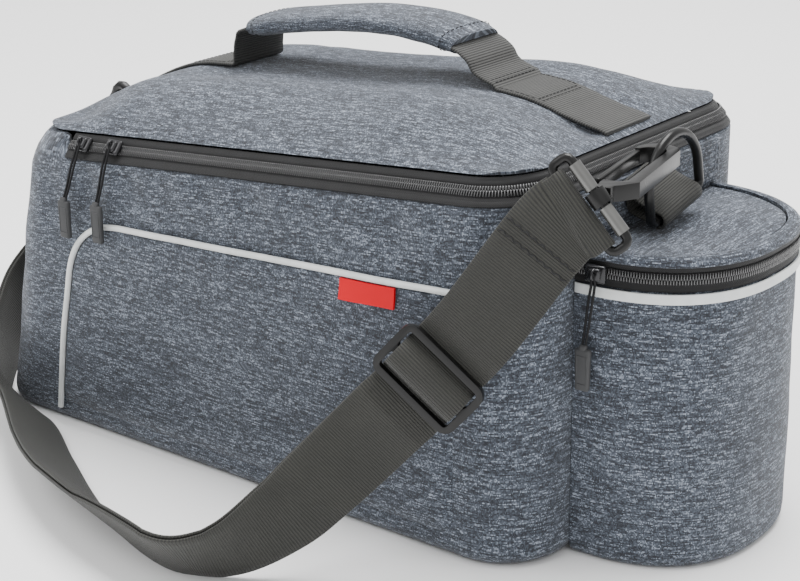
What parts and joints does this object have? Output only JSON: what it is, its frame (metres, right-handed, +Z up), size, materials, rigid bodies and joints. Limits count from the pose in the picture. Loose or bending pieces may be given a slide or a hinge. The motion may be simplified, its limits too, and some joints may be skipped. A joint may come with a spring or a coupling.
{
  "type": "bicycle trunk bag",
  "caption": "Padded bicycle trunk bag with zipped lid, rear bottle pocket, carrying handle and shoulder strap.",
  "frame": {"origin": "centre of the main body's base, on the floor", "axes": "+X to the rear with the bottle pocket, -Y to the side with the red tag, +Z up"},
  "size_m": [0.4523, 0.3129, 0.2271],
  "materials": {
    "body_cloth": "matte melange weave",
    "webbing": "matte ribbed",
    "zip": "satin",
    "reflective": "satin",
    "tag_cloth": "matte",
    "pull_rubber": "matte",
    "hardware": "satin"
  },
  "bodies": {
    "bag": {"bottle_pocket": "body_cloth", "far_piping": "reflective", "far_pocket_panel": "body_cloth", "front_d_ring": "hardware", "front_hook": "hardware", "front_patch": "body_cloth", "front_webbing_tab": "webbing", "handle_grip": "body_cloth", "handle_webbing": "webbing", "lid": "body_cloth", "main_front_pull_cord": "hardware", "main_front_pull_tab": "pull_rubber", "main_front_slider": "hardware", "main_rear_pull_cord": "hardware", "main_rear_pull_tab": "pull_rubber", "main_rear_slider": "hardware", "main_shell": "body_cloth", "main_zipper": "zip", "near_piping": "reflective", "near_pocket_panel": "body_cloth", "pocket_lid": "body_cloth", "pocket_pull_cord": "hardware", "pocket_pull_tab": "pull_rubber", "pocket_slider": "hardware", "pocket_zipper": "zip", "rear_d_ring": "hardware", "rear_hook": "hardware", "rear_hook_frame": "hardware", "rear_patch": "body_cloth", "rear_webbing_tab": "webbing", "red_tag": "tag_cloth", "reflective_band": "reflective", "shoulder_strap": "webbing", "tri_glide": "hardware"},
    "gate": {"rear_hook_gate": "hardware"}
  },
  "joints": [
    {"name": "rear_hook_gate_hinge", "type": "hinge", "parent": "bag", "child": "gate", "pos_m": [0.19778, -0.06976, 0.18207], "axis": [0, 0.0046, -1], "range_deg": [0, 8], "stiffness_Nm_per_rad": 0.05, "springref_deg": -11.46}
  ]
}
